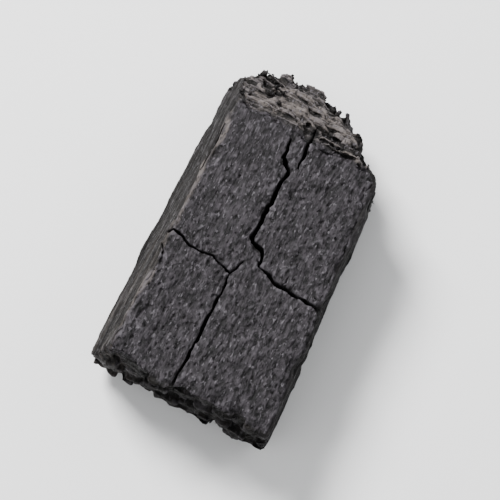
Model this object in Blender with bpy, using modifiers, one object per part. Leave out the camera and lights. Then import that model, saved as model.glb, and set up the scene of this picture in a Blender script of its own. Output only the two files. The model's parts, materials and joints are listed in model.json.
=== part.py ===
"""A lump of charcoal: a slab split from a charred billet, its broad face cracked and its far end torn.

X runs across the grain, Y along it and Z up from the face that the lump lies on. All sizes are in metres.
"""

import math
from typing import NamedTuple

import bmesh
import bpy
from mathutils import Vector, noise


class Crack(NamedTuple):
    """A crack's route seen from above, its width at the mouth and its depth."""

    route: list
    width: float
    depth: float


# Driving sizes of the lump
FACE_LENGTH = 0.078
FACE_WIDTH = 0.044
THICKNESS = 0.0245
TORN_REACH = 0.0222
FLANK_SPREAD = 0.0074
NEAR_BREAK = 0.0030

# How finely the form is worked, and how many triangles the finished solid keeps
SKIN_STEP = 0.0009
TRIANGLES_KEPT = 8200

# Growth rings: arcs about a pith that lay under the slab and to its right
PITH_X = 0.010
PITH_Z = -0.058
RING_STEP = 0.0036
RING_RELIEF = 0.00055

# Fibres are long along Y and narrow across it
FIBRE_LENGTH = 0.026
FIBRE_WIDTH = 0.0042
FIBRE_SEED = 4.3
FACE_RELIEF = 0.00022
FLANK_RELIEF = 0.00065

# Broken ends: every ring tears off at its own place, in bundles of fibres
BUNDLE_WIDTH = 0.0032
FAR_TEAR = 0.0030
NEAR_TEAR = 0.0016
BUNDLE_SHARE = 0.45
FRONT_SHARE = 0.55
FRONT_SEED = 8.1
BUNDLE_SEED = 3.5
END_RING_SHARE = 0.35

# Drying left the four panels between the cracks a little out of level
PANEL_SAG = 0.0004
PANEL_BLEND = 0.003

# Edges crumble in patches
CHIP_REACH = 0.0026
CHIP_DEPTH = 0.0016
CHIP_SIZE = 0.0065
CHIP_START = 0.05
CHIP_FULL = 0.55
CHIP_SEED = Vector((9.1, 2.7, 5.3))

# The lump lies on a worn flat land under its middle
LAND_LIFT = 0.0011
LAND_HALF_WIDTH = 0.016
LAND_HALF_LENGTH = 0.031
LAND_PLAY = 0.00008

CRACK_MOUTH = 0.003
CRACK_STEP = 0.0028
CRACK_WANDER = 0.00035
CRACK_ROOT_SHARE = 0.25
CRACK_TIP_SHARE = 0.4
CRACK_TIP_LENGTH = 0.006

CHAR_COLOUR = (0.052, 0.050, 0.052, 1.0)
CHAR_ROUGHNESS = 0.72

HALF_WIDTH = FACE_WIDTH / 2
HALF_LENGTH = FACE_LENGTH / 2
NEAR_EDGE = -HALF_LENGTH + NEAR_BREAK

# Each plane that the slab split or broke along: a point on it, and the way it faces
CLEAVAGES = {
    "broad face": ((0, 0, THICKNESS), (0.012, -0.008, 1)),
    "underside": ((0, 0, 0), (0, 0, -1)),
    "left flank": ((-HALF_WIDTH, 0, THICKNESS), (-1, 0.012, 0.46)),
    "left foot": ((-HALF_WIDTH - FLANK_SPREAD, 0, 0.3 * THICKNESS), (-1, -0.02, -0.30)),
    "right flank": ((HALF_WIDTH - 0.0003, -0.006, THICKNESS), (1, 0.030, -0.10)),
    "right shoulder": ((HALF_WIDTH - 0.0015, 0.012, THICKNESS), (1, 0.05, 0.10)),
    "near end": ((0, NEAR_EDGE, THICKNESS), (-0.055, -1, 0.0)),
    "near foot": ((0, NEAR_EDGE + 0.003, 0.003), (-0.055, -1, -1.1)),
    "near left corner": ((-0.027, NEAR_EDGE + 0.0014, 0.012), (-1, -0.9, -0.1)),
    "torn slope": ((0, HALF_LENGTH, THICKNESS), (0.10, 1, 1.35)),
    "far end": ((-0.014, HALF_LENGTH + TORN_REACH, 0), (0.46, 1, 0.05)),
    "far foot": ((0, HALF_LENGTH + 0.0115, 0.003), (0.30, 1, -0.8)),
    "far left corner": ((-HALF_WIDTH - 0.0005, HALF_LENGTH + 0.0145, 0.012), (-1, 1.2, 0.1)),
    "far right corner": ((HALF_WIDTH - 0.005, HALF_LENGTH - 0.002, THICKNESS), (1, 0.9, 0.05)),
}

FACE_CRACKS = {
    "long crack": Crack(
        [(-0.0050, 0.0364), (-0.0045, 0.0329), (-0.0047, 0.0308), (-0.0019, 0.0279), (-0.0022, 0.0258)]
        + [(-0.0026, 0.0081), (-0.0020, 0.0068), (0.0007, 0.0060), (0.0019, 0.0040), (0.0018, 0.0022)],
        0.0014,
        0.0100,
    ),
    "far branch": Crack([(-0.0008, 0.0440), (-0.0006, 0.0399), (0.0000, 0.0294)], 0.0012, 0.0090),
    "cross crack": Crack(
        [(0.0021, 0.0012), (0.0052, 0.0004), (0.0089, -0.0010), (0.0126, -0.0016), (0.0148, -0.0013)]
        + [(0.0182, -0.0023), (0.0280, -0.0030)],
        0.0012,
        0.0110,
    ),
    "left cross crack": Crack(
        [(-0.0260, -0.0006), (-0.0221, 0.0001), (-0.0213, 0.0013), (-0.0185, 0.0007), (-0.0160, -0.0007)]
        + [(-0.0135, -0.0009), (-0.0104, -0.0006)],
        0.0009,
        0.0055,
    ),
    "middle crack": Crack(
        [(-0.0076, -0.0022), (-0.0055, -0.0023), (-0.0038, -0.0028), (-0.0030, -0.0013), (-0.0024, 0.0008)],
        0.0010,
        0.0060,
    ),
    "near crack": Crack(
        [(-0.0036, -0.0052), (-0.0038, -0.0120), (-0.0037, -0.0187), (-0.0038, -0.0255), (-0.0044, -0.0360)]
        + [(-0.0046, -0.0440)],
        0.0012,
        0.0085,
    ),
    "edge slit": Crack([(-0.0212, 0.0350), (-0.0208, 0.0300), (-0.0212, 0.0235)], 0.0008, 0.0040),
}
UNDER_CRACKS = {
    "under long crack": Crack(
        [(0.0060, -0.0440), (0.0052, -0.0240), (0.0066, -0.0060), (0.0058, 0.0040)], 0.0013, 0.0070
    ),
    "under cross crack": Crack([(0.0056, -0.0100), (0.0130, -0.0112), (0.0280, -0.0104)], 0.0011, 0.0070),
    "under left crack": Crack(
        [(-0.0360, 0.0120), (-0.0220, 0.0131), (-0.0110, 0.0122), (-0.0060, 0.0128)], 0.0011, 0.0060
    ),
}


def smooth_step(low, high, value):
    """0 below low, 1 above high and an even rise between them."""
    share = min(1.0, max(0.0, (value - low) / (high - low)))
    return share * share * (3 - 2 * share)


def fibre_noise(point):
    """Noise that is stretched along the grain, from about -1 to 1."""
    return noise.noise(
        Vector((point.x / FIBRE_WIDTH + FIBRE_SEED, point.y / FIBRE_LENGTH, point.z / FIBRE_WIDTH))
    )


def facing(part_of_normal):
    """1 where a surface faces a direction, 0 where it runs along it, from that part of its normal."""
    return smooth_step(0.3, 0.8, part_of_normal)


def ring_at(point):
    """How many growth rings lie between the pith and a point."""
    sway = 0.0012 * noise.noise(Vector((point.x / 0.02, point.y / 0.05, point.z / 0.02)))
    return (math.hypot(point.x - PITH_X, point.z - PITH_Z) + sway) / RING_STEP


def planes():
    """The cleavage planes as (point, unit normal)."""
    return [(Vector(point), Vector(way).normalized()) for point, way in CLEAVAGES.values()]


def edge_nearness(point, cleavage):
    """1 on an edge where two cleavage planes meet, 0 at CHIP_REACH from it."""
    depths = sorted(abs((point - on_plane).dot(way)) for on_plane, way in cleavage)
    return 1 - smooth_step(0, CHIP_REACH, depths[1])


def split_block():
    """A block of char, cleaved by each plane in turn."""
    block = bmesh.new()
    bmesh.ops.create_cube(block, size=1)
    room = 1.6 * max(FACE_LENGTH, FACE_WIDTH)
    bmesh.ops.scale(block, verts=block.verts, vec=(room, room, room))
    for point, way in planes():
        cut = bmesh.ops.bisect_plane(
            block,
            geom=block.verts[:] + block.edges[:] + block.faces[:],
            plane_co=point,
            plane_no=way,
            clear_outer=True,
        )
        rim = [item for item in cut["geom_cut"] if isinstance(item, bmesh.types.BMEdge)]
        bmesh.ops.contextual_create(block, geom=rim)
    bmesh.ops.recalc_face_normals(block, faces=block.faces)
    return block


def even_skin(lump, step):
    """Covers the lump with faces of one size, so that it can be worked everywhere alike."""
    remesh = lump.modifiers.new("even skin", "REMESH")
    remesh.mode = "VOXEL"
    remesh.voxel_size = step
    apply_modifiers(lump)


def apply_modifiers(lump):
    """Makes what the modifiers give the lump's own mesh."""
    shown = lump.evaluated_get(bpy.context.evaluated_depsgraph_get())
    mesh = bpy.data.meshes.new_from_object(shown)
    lump.modifiers.clear()
    lump.data = mesh


def move_points(lump, move):
    """Moves each point of the lump to where move(point, normal) puts it."""
    shape = bmesh.new()
    shape.from_mesh(lump.data)
    shape.normal_update()
    places = [move(vertex.co, vertex.normal) for vertex in shape.verts]
    for vertex, place in zip(shape.verts, places):
        vertex.co = place
    shape.to_mesh(lump.data)
    shape.free()


def tear_ends(point, normal):
    """Pushes the bundles of fibres at both ends in or out along the grain, ring by ring."""
    ring = math.floor(ring_at(point))
    bundle = noise.cell(Vector((point.x / BUNDLE_WIDTH + 0.37 * ring, ring + 0.5, BUNDLE_SEED)))
    front = noise.noise(Vector((point.x / (4 * BUNDLE_WIDTH), 1.7 * ring, FRONT_SEED)))
    tear = BUNDLE_SHARE * (2 * bundle - 1) + FRONT_SHARE * front
    far = facing(normal.y) * FAR_TEAR
    near = facing(-normal.y) * NEAR_TEAR
    return point + Vector((0, tear * (far - near), 0))


def panel_sag(point):
    """How far the panel under this point lies below the highest one."""
    across = math.tanh(point.x / PANEL_BLEND)
    along = math.tanh(point.y / PANEL_BLEND)
    return PANEL_SAG * (0.5 + 0.3 * across * along + 0.2 * across)


def crumble_edges(cleavage):
    """Gives the move that breaks patches off the edges and raises the grain."""

    def move(point, normal):
        flank = facing(abs(normal.x))
        ring = ring_at(point) % 1
        saw = (smooth_step(0, 0.75, ring) - smooth_step(0.8, 1, ring) - 0.5) * RING_RELIEF
        relief = FACE_RELIEF + (FLANK_RELIEF - FACE_RELIEF) * flank
        fibre = fibre_noise(point) * relief
        patch = smooth_step(CHIP_START, CHIP_FULL, noise.noise(point / CHIP_SIZE + CHIP_SEED))
        chip = edge_nearness(point, cleavage) * patch * CHIP_DEPTH
        sag = panel_sag(point) * facing(normal.z)
        return point + normal * (saw * max(flank, END_RING_SHARE * abs(normal.y)) + fibre - chip - sag)

    return move


def lift_rim(point, normal):
    """Hollows the underside round its land, where the lump doesn't touch what it lies on."""
    outside = math.hypot(point.x / LAND_HALF_WIDTH, point.y / LAND_HALF_LENGTH)
    lift = smooth_step(1, 1.5, outside) * facing(-normal.z) * LAND_LIFT
    return point + Vector((0, 0, lift))


def level_land(point, normal):
    """Brings back to the land's level the few points of its rim that thinning out moved off it."""
    on_land = abs(point.z - FACE_RELIEF) < LAND_PLAY
    return Vector((point.x, point.y, FACE_RELIEF if on_land else point.z))


def thin_out(lump, kept):
    """Leaves about this many triangles, most of them where the form is busy."""
    lump.data.calc_loop_triangles()
    decimate = lump.modifiers.new("thin out", "DECIMATE")
    decimate.ratio = kept / len(lump.data.loop_triangles)
    decimate.use_collapse_triangulate = True
    apply_modifiers(lump)


def floor_cutter(level, cutters):
    """A block whose top is the level that the underside is worn flat at."""
    block = bmesh.new()
    bmesh.ops.create_cube(block, size=1)
    reach = 2 * FACE_LENGTH
    bmesh.ops.scale(block, verts=block.verts, vec=(reach, reach, THICKNESS))
    bmesh.ops.translate(block, verts=block.verts, vec=(0, 0, level - THICKNESS / 2))
    return add_cutter("floor", block, cutters)


def add_cutter(name, shape, cutters):
    """An object that only cuts, from a shape that is used up."""
    mesh = bpy.data.meshes.new(name)
    shape.to_mesh(mesh)
    shape.free()
    cutter = bpy.data.objects.new(name, mesh)
    cutter.hide_render = True
    cutter.display_type = "WIRE"
    cutters.objects.link(cutter)
    return cutter


def crack_line(route, seed):
    """Points along a route, CRACK_STEP apart, that wander a little to each side as a crack does."""
    points = []
    for start, end in zip(route, route[1:]):
        start, end = Vector(start), Vector(end)
        steps = max(1, round((end - start).length / CRACK_STEP))
        points += [start.lerp(end, step / steps) for step in range(steps)]
    points.append(Vector(route[-1]))
    for index in range(1, len(points) - 1):
        along = (points[index + 1] - points[index - 1]).normalized()
        drift = CRACK_WANDER * math.sin(2.4 * index + seed)
        points[index] += Vector((-along.y, along.x)) * drift
    return points


def crack_cutter(name, crack, mouth, inward, cutters):
    """A wedge as wide as the crack at its mouth, which thins towards its root and both its tips."""
    line = crack_line(crack.route, len(name))
    sheet = bmesh.new()
    points = [sheet.verts.new((point.x, point.y, mouth - inward * CRACK_MOUTH)) for point in line]
    edge = [sheet.edges.new(pair) for pair in zip(points, points[1:])]
    for drop in (CRACK_MOUTH + crack.depth / 2, crack.depth / 2):
        grown = bmesh.ops.extrude_edge_only(sheet, edges=edge)["geom"]
        points = [item for item in grown if isinstance(item, bmesh.types.BMVert)]
        lines = [item for item in grown if isinstance(item, bmesh.types.BMEdge)]
        edge = [item for item in lines if set(item.verts) <= set(points)]
        bmesh.ops.translate(sheet, verts=points, vec=(0, 0, inward * drop))
    cutter = add_cutter(name, sheet, cutters)
    group = cutter.vertex_groups.new(name="width")
    for vertex in cutter.data.vertices:
        place = vertex.co.xy
        share = 1 - (1 - CRACK_ROOT_SHARE) * smooth_step(0, crack.depth, inward * (vertex.co.z - mouth))
        to_tip = min((place - line[0]).length, (place - line[-1]).length)
        share *= CRACK_TIP_SHARE + (1 - CRACK_TIP_SHARE) * smooth_step(0, CRACK_TIP_LENGTH, to_tip)
        group.add([vertex.index], share, "REPLACE")
    solidify = cutter.modifiers.new("crack width", "SOLIDIFY")
    solidify.thickness = crack.width
    solidify.offset = 0
    solidify.vertex_group = group.name
    return cutter


def cut_cracks(lump, cutters):
    """Opens every crack in the lump, and wears its underside flat."""
    floor_cutter(FACE_RELIEF, cutters)
    for name, crack in FACE_CRACKS.items():
        crack_cutter(name, crack, THICKNESS, -1, cutters)
    for name, crack in UNDER_CRACKS.items():
        crack_cutter(name, crack, 0, 1, cutters)
    opened = lump.modifiers.new("cracks", "BOOLEAN")
    opened.operation = "DIFFERENCE"
    opened.operand_type = "COLLECTION"
    opened.collection = cutters
    opened.solver = "EXACT"
    apply_modifiers(lump)


def char_material():
    """Dull, near-black char."""
    material = bpy.data.materials.new("char")
    material.use_nodes = True
    shader = material.node_tree.nodes["Principled BSDF"]
    shader.inputs["Base Color"].default_value = CHAR_COLOUR
    shader.inputs["Roughness"].default_value = CHAR_ROUGHNESS
    shader.inputs["Metallic"].default_value = 0.0
    return material


def centre_on_floor(lump):
    """Puts the middle of the lump's box over the origin, and its lowest point on the floor."""
    points = [vertex.co for vertex in lump.data.vertices]
    low = Vector(min(point[axis] for point in points) for axis in range(3))
    high = Vector(max(point[axis] for point in points) for axis in range(3))
    middle = (low + high) / 2
    for point in points:
        point -= Vector((middle.x, middle.y, low.z))


def build():
    """Makes the lump in its own collection."""
    for old in list(bpy.data.objects):
        bpy.data.objects.remove(old, do_unlink=True)
    parts = bpy.data.collections.new("charcoal lump")
    cutters = bpy.data.collections.new("crack cutters")
    bpy.context.scene.collection.children.link(parts)
    bpy.context.scene.collection.children.link(cutters)

    mesh = bpy.data.meshes.new("charcoal_lump")
    block = split_block()
    block.to_mesh(mesh)
    block.free()
    lump = bpy.data.objects.new("charcoal_lump", mesh)
    parts.objects.link(lump)

    even_skin(lump, SKIN_STEP)
    move_points(lump, tear_ends)
    even_skin(lump, SKIN_STEP)
    move_points(lump, crumble_edges(planes()))
    move_points(lump, lift_rim)
    even_skin(lump, SKIN_STEP)
    cut_cracks(lump, cutters)
    thin_out(lump, TRIANGLES_KEPT)
    move_points(lump, level_land)
    centre_on_floor(lump)
    lump.data.materials.append(char_material())


build()
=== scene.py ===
"""Dresses a lump of charcoal: its fine char surface, its finish, and the plain studio that it is seen in.

X runs across the grain, Y along it and Z up, in metres, as in the frame of model.glb.
"""

import json
import logging
import math
import random
from dataclasses import dataclass, field
from enum import Enum

import bpy
import numpy as np
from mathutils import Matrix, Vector, noise

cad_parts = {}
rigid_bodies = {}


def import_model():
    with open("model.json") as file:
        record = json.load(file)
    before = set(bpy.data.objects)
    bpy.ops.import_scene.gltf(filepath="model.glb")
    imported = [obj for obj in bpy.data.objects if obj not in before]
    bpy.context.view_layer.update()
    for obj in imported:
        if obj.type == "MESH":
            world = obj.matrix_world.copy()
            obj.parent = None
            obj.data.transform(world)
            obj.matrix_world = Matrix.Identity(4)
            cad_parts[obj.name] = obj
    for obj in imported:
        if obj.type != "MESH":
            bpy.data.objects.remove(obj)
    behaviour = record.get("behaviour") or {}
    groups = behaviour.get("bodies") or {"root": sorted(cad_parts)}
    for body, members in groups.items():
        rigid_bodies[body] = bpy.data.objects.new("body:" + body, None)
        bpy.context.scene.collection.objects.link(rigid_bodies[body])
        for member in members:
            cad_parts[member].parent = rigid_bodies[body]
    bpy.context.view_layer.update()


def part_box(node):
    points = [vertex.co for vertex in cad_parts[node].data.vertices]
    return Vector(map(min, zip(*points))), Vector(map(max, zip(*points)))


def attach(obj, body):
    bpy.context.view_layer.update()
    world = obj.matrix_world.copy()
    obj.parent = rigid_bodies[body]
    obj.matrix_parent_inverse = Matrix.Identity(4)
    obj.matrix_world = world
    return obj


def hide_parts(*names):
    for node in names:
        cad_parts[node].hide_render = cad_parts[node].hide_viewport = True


LOG = logging.getLogger("charcoal lump")
MM = 0.001

Triple = tuple[float, float, float]
Colour = tuple[float, float, float, float]
Socket = bpy.types.NodeSocket

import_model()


class Zone(Enum):
    """The kinds of surface on the lump, each kept as a mask on its points."""

    TORN = "torn"
    FLANK = "flank"
    BROKEN = "broken"
    HOLLOW = "crack_shade"
    SLIVER = "sliver"
    BARE = "bare"
    CREST = "crest"


class Side(Enum):
    """The side of the slab that a crack opens on, as the way that leads into the slab."""

    FACE = -1
    UNDER = 1


@dataclass(frozen=True)
class Cleavage:
    """A plane that the slab split or broke along: a point on it, and the way it faces."""

    point: Triple
    facing: Triple


@dataclass(frozen=True)
class Crack:
    """A shrinkage crack: its route seen from above, its width at the mouth and its depth."""

    side: Side
    width: float
    depth: float
    route: tuple[tuple[float, float], ...]
    seed: float = 0.0

    def line(self) -> np.ndarray:
        """Points along the crack, that wander to each side as it passes round the fibres.

        Returns:
            The points in turn, seen from above, one to a row.
        """
        stride, drift, jitter = 1.1 * MM, 0.06 * self.width, 0.34 * self.width
        points = []
        for start, end in zip(self.route, self.route[1:]):
            here, there = Vector(start), Vector(end)
            steps = max(1, round((there - here).length / stride))
            points += [here.lerp(there, step / steps) for step in range(steps)]
        points.append(Vector(self.route[-1]))
        for index in range(1, len(points) - 1):
            along = (points[index + 1] - points[index - 1]).normalized()
            swing = drift * math.sin(0.95 * index + self.seed)
            swing += jitter * noise.noise(Vector((0.83 * index, self.seed, 0.5)))
            points[index] += Vector((-along.y, along.x)) * swing
        return np.array([tuple(point) for point in points])


@dataclass(frozen=True)
class Pit:
    """A small hole or chip in the skin: its middle, its radius, its depth and the way that it goes in."""

    place: Triple
    radius: float
    depth: float
    way: Triple

    def reach(self, points: np.ndarray) -> np.ndarray:
        """How much of the pit's depth each point takes.

        Args:
            points: Places on the skin.

        Returns:
            A share from 0 to 1 for each point.
        """
        off = points - np.array(self.place)
        off += 0.3 * self.radius * np.sin(off[:, [1, 0, 2]] / (0.5 * self.radius))
        return np.exp(-((np.linalg.norm(off, axis=1) / self.radius) ** 2))


@dataclass(frozen=True)
class Groove:
    """A faint groove along the grain of the broad face: its place across, its two ends and its depth."""

    across: float
    start: float
    end: float
    depth: float

    def sink(self, points: np.ndarray) -> np.ndarray:
        """How deep the groove is at each point.

        Args:
            points: Places on the skin.

        Returns:
            A depth for each point.
        """
        sway = 0.35 * MM * cloud(points * np.array((0.0, 1.0, 0.0)), (1, 6 * MM, 1), 50 * self.across / MM)
        off = np.abs(points[:, 0] - self.across - sway) / (0.42 * MM)
        ends = smooth_step(self.start, self.start + 3 * MM, points[:, 1])
        ends *= smooth_step(self.end, self.end - 3 * MM, points[:, 1])
        return self.depth * np.exp(-(off**2)) * ends


@dataclass(frozen=True)
class Sliver:
    """A sliver of torn wood on the lump: the points of its middle line, and its half thickness."""

    line: tuple[Triple, ...]
    radius: float

    def model(self) -> bpy.types.Object:
        """Models the sliver, thin at its tips.

        Returns:
            The sliver.
        """
        sliver = draw_line([Vector(point) for point in self.line])
        sliver.modifiers.new("thickness", "SKIN")
        last = len(self.line) - 1
        for index, ring in enumerate(sliver.data.skin_vertices[0].data):
            share = 0.45 + 0.55 * math.sin(math.pi * index / last)
            ring.radius = (self.radius * share, 0.8 * self.radius * share)
        apply_all(sliver)
        return sliver


@dataclass(frozen=True)
class SliverPlan:
    """Where a sliver is to lie: its start, the way it runs, the way out of the lump, and its sizes."""

    start: Vector
    along: Vector
    out: Vector
    length: float
    radius: float
    rise: float


def smooth_step(low: float, high: float, value: np.ndarray) -> np.ndarray:
    """0 up to low, 1 from high on and a soft rise between them; low may be the greater of the two."""
    share = np.clip((value - low) / (high - low), 0.0, 1.0)
    return share * share * (3.0 - 2.0 * share)


def facing(part_of_normal: np.ndarray) -> np.ndarray:
    """1 where a surface faces a direction, 0 where it runs along it, from that part of its normal."""
    return smooth_step(0.3, 0.8, part_of_normal)


def cloud(points: np.ndarray, size: Triple, seed: float = 0.0) -> np.ndarray:
    """Soft noise at each point.

    Args:
        points: Places, one to a row.
        size: How far the noise reaches along X, Y and Z before it changes.
        seed: Moves the noise to another part of itself.

    Returns:
        A value for each point, from about -1 to 1.
    """
    places = points / np.array(size) + np.array((seed, 0.0, 0.0))
    return np.fromiter(map(noise.noise, places.tolist()), float, len(places))


def pressed(values: np.ndarray, low: float, high: float, rim: float) -> np.ndarray:
    """Presses what lies near or past two limits back between them, so that it just reaches both.

    Args:
        values: Places along one axis.
        low: The lower limit.
        high: The upper limit.
        rim: How far inside the limits the pressing starts.

    Returns:
        The new places.
    """
    for sign, limit in ((1, high), (-1, low)):
        past = sign * (values - limit) + rim
        values = np.where(past > 0, limit + sign * rim * (past / past.max() - 1), values)
    return values


def patches(x: np.ndarray, y: np.ndarray, z: np.ndarray) -> np.ndarray:
    """One value from 0 to 1 for each unit cell of space that the points lie in."""
    places = np.column_stack((x, y, z)).tolist()
    return np.fromiter(map(noise.cell, places), float, len(places))


def ridges(points: np.ndarray, size: Triple, seed: float) -> np.ndarray:
    """Noise folded into sharp crests.

    Args:
        points: Places, one to a row.
        size: How far the noise reaches along X, Y and Z.
        seed: Moves the noise to another part of itself.

    Returns:
        A value for each point, from about -1 in the troughs to 1 on the crests.
    """
    return 1.0 - 4.0 * np.abs(cloud(points, size, seed))


def only_active(piece: bpy.types.Object) -> None:
    """Makes a piece the only selected object, and the active one.

    Args:
        piece: The piece.
    """
    bpy.ops.object.select_all(action="DESELECT")
    piece.select_set(True)
    bpy.context.view_layer.objects.active = piece


def apply_all(piece: bpy.types.Object) -> None:
    """Applies every modifier of a piece in turn.

    Args:
        piece: The piece.
    """
    only_active(piece)
    for modifier in list(piece.modifiers):
        bpy.ops.object.modifier_apply(modifier=modifier.name)


def draw_line(line: list[Vector]) -> bpy.types.Object:
    """Draws a line of edges through points.

    Args:
        line: The points in turn.

    Returns:
        The line, as a new object.
    """
    bpy.ops.object.select_all(action="DESELECT")
    bpy.ops.mesh.primitive_plane_add(size=MM, location=line[0])
    drawn = bpy.context.object
    bpy.ops.object.transform_apply(location=True)
    bpy.ops.object.mode_set(mode="EDIT")
    bpy.ops.mesh.select_all(action="SELECT")
    bpy.ops.mesh.merge(type="CENTER")
    for here, there in zip(line, line[1:]):
        bpy.ops.mesh.extrude_vertices_move(TRANSFORM_OT_translate={"value": there - here})
    bpy.ops.object.mode_set(mode="OBJECT")
    return drawn


def line_gap(points: np.ndarray, line: np.ndarray) -> np.ndarray:
    """How far each point lies from a line of edges.

    Args:
        points: Places, one to a row.
        line: The line's own points in turn, with as many numbers to a row.

    Returns:
        One distance for each point.
    """
    nearest = np.full(len(points), np.inf)
    for here, there in zip(line, line[1:]):
        run = there - here
        share = np.clip((points - here) @ run / (run @ run), 0, 1)
        nearest = np.minimum(nearest, np.linalg.norm(points - here - share[:, None] * run, axis=1))
    return nearest


class Skin:
    """A piece's points and their normals as arrays, so that its whole surface is worked at once."""

    def __init__(self, piece: bpy.types.Object) -> None:
        """Reads the points of a piece.

        Args:
            piece: The mesh object to work on.
        """
        self.mesh = piece.data
        count = len(self.mesh.vertices)
        self.points = np.empty(count * 3)
        self.mesh.vertices.foreach_get("co", self.points)
        self.points = self.points.reshape(count, 3)
        self.normals = np.empty(count * 3)
        self.mesh.vertex_normals.foreach_get("vector", self.normals)
        self.normals = self.normals.reshape(count, 3)

    def store(self) -> None:
        """Writes the points back to the piece."""
        self.mesh.vertices.foreach_set("co", self.points.ravel())
        self.mesh.update()

    def standing_out(self, rounds: int) -> np.ndarray:
        """How far each point stands out of the skin round it.

        Args:
            rounds: How many times the skin is evened out to compare with.

        Returns:
            A distance along each point's normal, below 0 in the hollows.
        """
        edges = np.empty(len(self.mesh.edges) * 2, dtype=np.int64)
        self.mesh.edges.foreach_get("vertices", edges)
        pairs = edges.reshape(-1, 2)
        ends, others = pairs.ravel(), pairs[:, ::-1].ravel()
        count = len(self.points)
        met = np.maximum(np.bincount(ends, minlength=count), 1)
        even = self.points.copy()
        for _ in range(rounds):
            even = np.column_stack([np.bincount(ends, column[others], count) / met for column in even.T])
        return ((self.points - even) * self.normals).sum(axis=1)

    def mark(self, zone: Zone, mask: np.ndarray) -> None:
        """Keeps a mask on the points, for the finish to read.

        Args:
            zone: Which surface the mask is for.
            mask: One value for each point.
        """
        layer = self.mesh.attributes.new(zone.value, "FLOAT", "POINT")
        layer.data.foreach_set("value", mask)


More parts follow.
